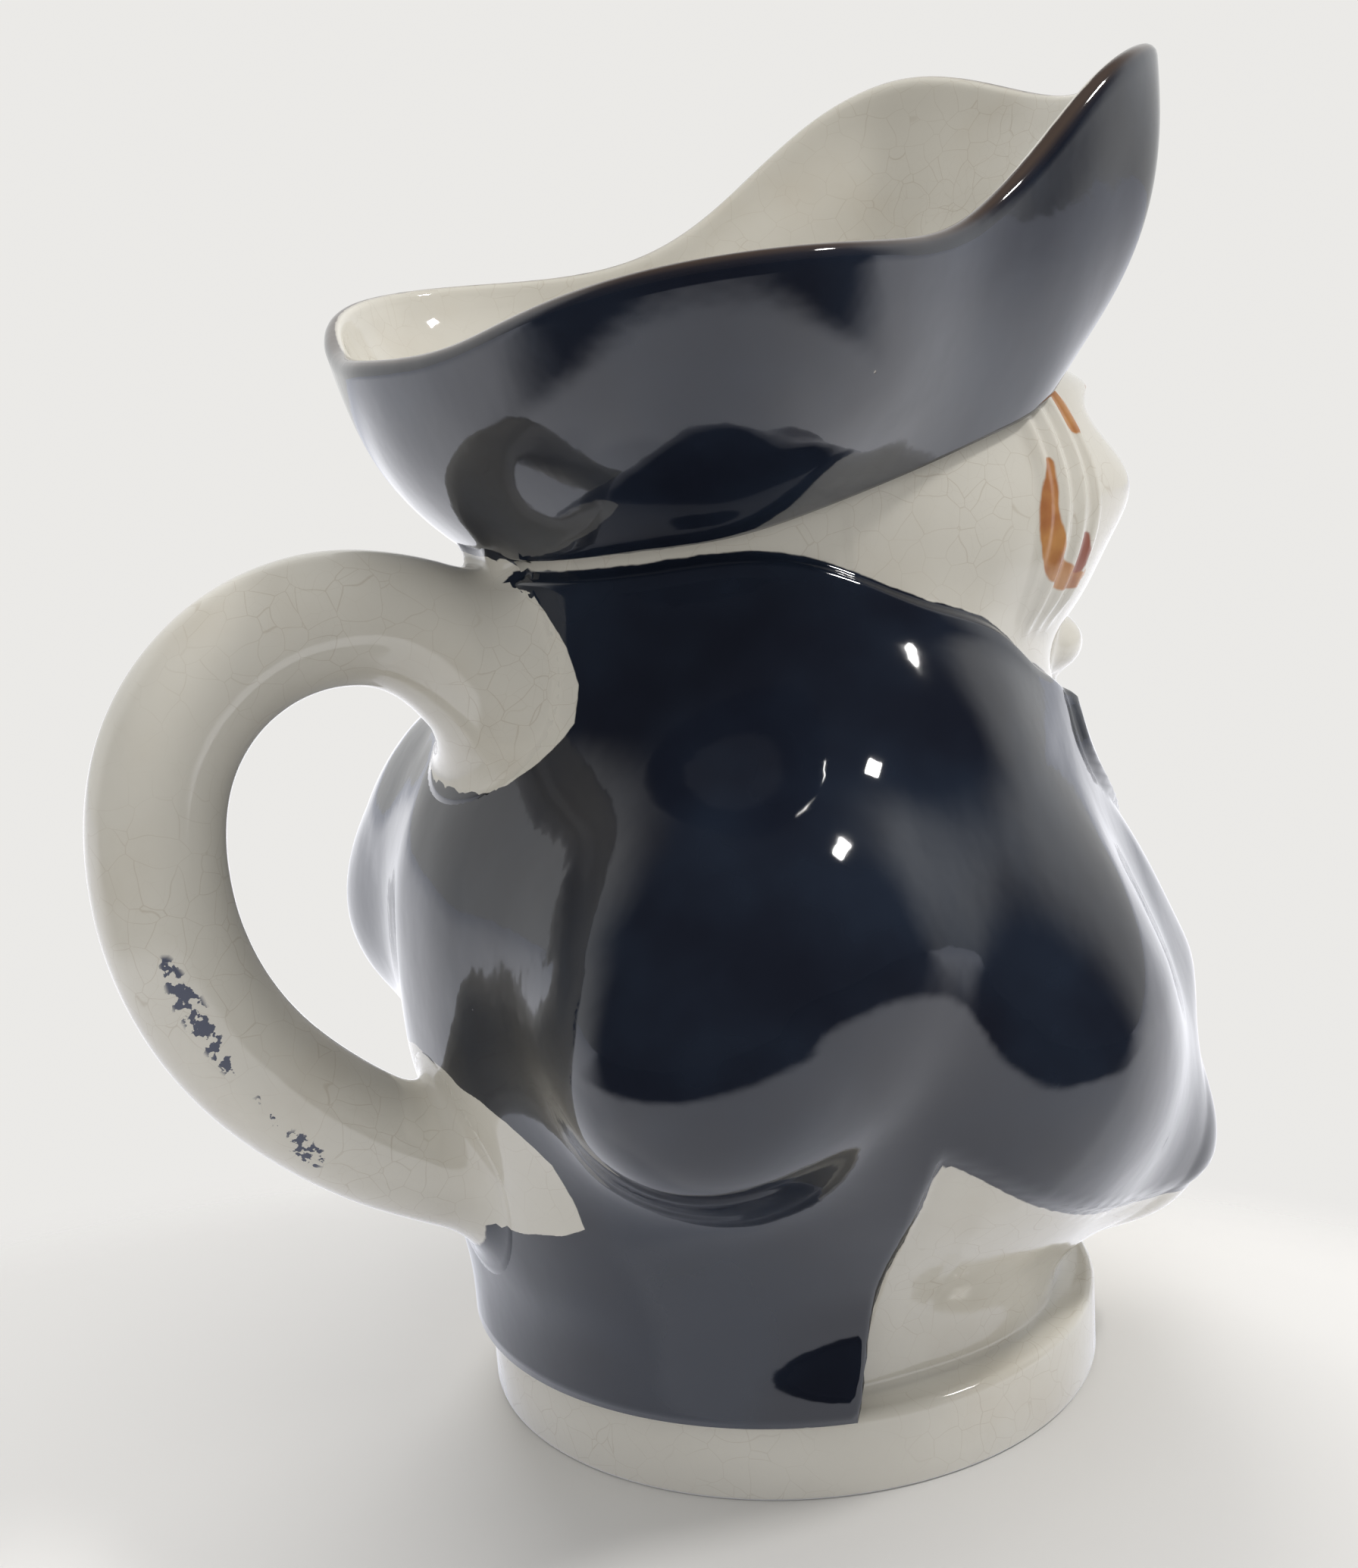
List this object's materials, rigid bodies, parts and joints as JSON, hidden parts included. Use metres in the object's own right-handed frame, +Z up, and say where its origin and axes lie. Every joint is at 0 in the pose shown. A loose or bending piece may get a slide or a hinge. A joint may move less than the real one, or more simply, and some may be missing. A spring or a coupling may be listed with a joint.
{
  "type": "toby jug",
  "caption": "Hollow glazed earthenware jug in the form of a seated man in a cocked hat, with the hat as its pouring mouth and a loop handle at the back.",
  "frame": {"origin": "centre of the round plinth's flat underside", "axes": "+X towards the figure's front, +Y to the figure's left, +Z up through the hat"},
  "size_m": [0.1357, 0.1078, 0.1554],
  "materials": {
    "glaze": "glossy clear glaze over navy and cream-white slip, crazed on the white"
  },
  "bodies": {
    "root": {"jug": "glaze"}
  },
  "joints": []
}
